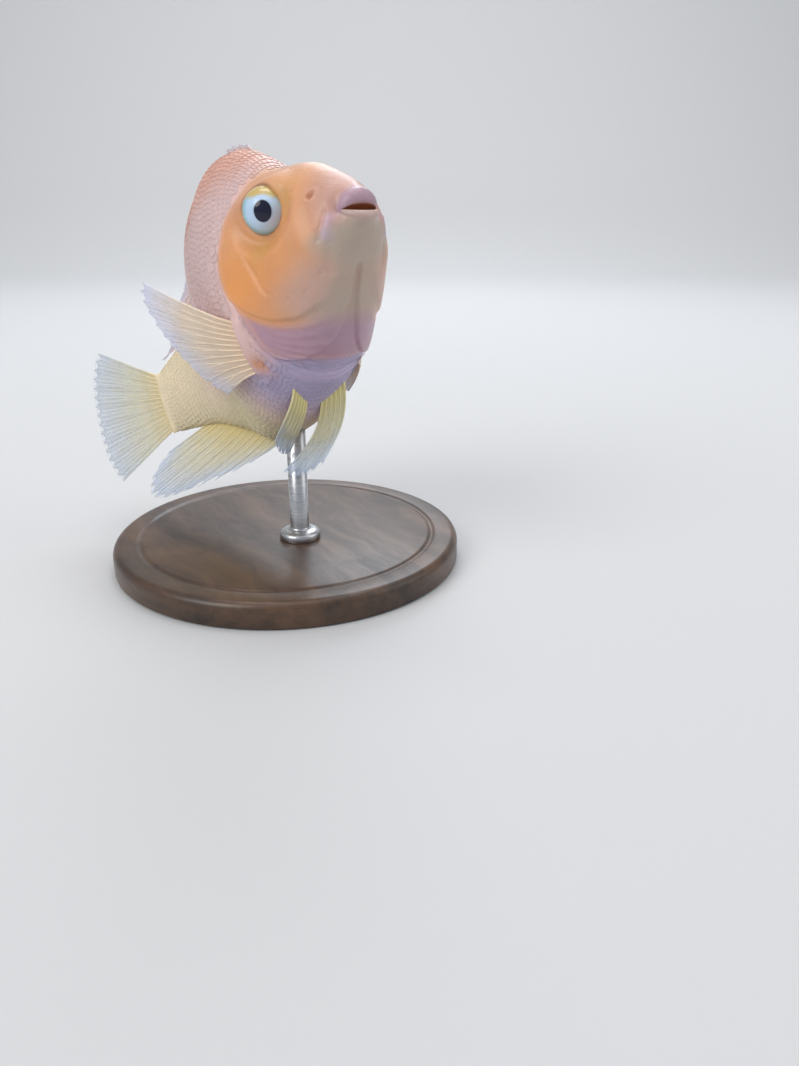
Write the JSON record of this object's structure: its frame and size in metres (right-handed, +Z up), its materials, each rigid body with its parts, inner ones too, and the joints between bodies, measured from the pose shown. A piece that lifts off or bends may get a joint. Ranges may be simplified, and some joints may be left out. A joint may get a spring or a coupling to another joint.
{
  "type": "blood parrot cichlid model on a stand",
  "caption": "Life-size still model of a blood parrot cichlid, nose up and tail swung to its right, held by a short rod on a round base.",
  "frame": {"origin": "centre of the base's flat underside, on the floor", "axes": "+Z up, the fish heads along +X with its nose raised, its left flank towards +Y"},
  "size_m": [0.1345, 0.112, 0.1257],
  "materials": {
    "head_skin": "moist skin, peach and orange, soft sheen",
    "body_skin": "fine scales, pinkish white, soft sheen",
    "pale_fin": "thin translucent membrane on rays",
    "yellow_fin": "thin translucent membrane on rays, bluish-white tips",
    "eye": "glossy wet eye, pale blue-white iris and dark pupil",
    "stand_wood": "dark stained wood, satin",
    "stand_steel": "brushed"
  },
  "bodies": {
    "root": {"head": "head_skin", "torso": "body_skin", "tail_stalk": "body_skin", "dorsal_fin": "pale_fin", "anal_fin": "yellow_fin", "caudal_fin": "yellow_fin", "pectoral_fin_right": "pale_fin", "pectoral_fin_left": "pale_fin", "pelvic_fin_right": "yellow_fin", "pelvic_fin_left": "yellow_fin", "eye_right": "eye", "eye_left": "eye", "stand_base": "stand_wood", "stand_rod": "stand_steel"}
  },
  "joints": []
}
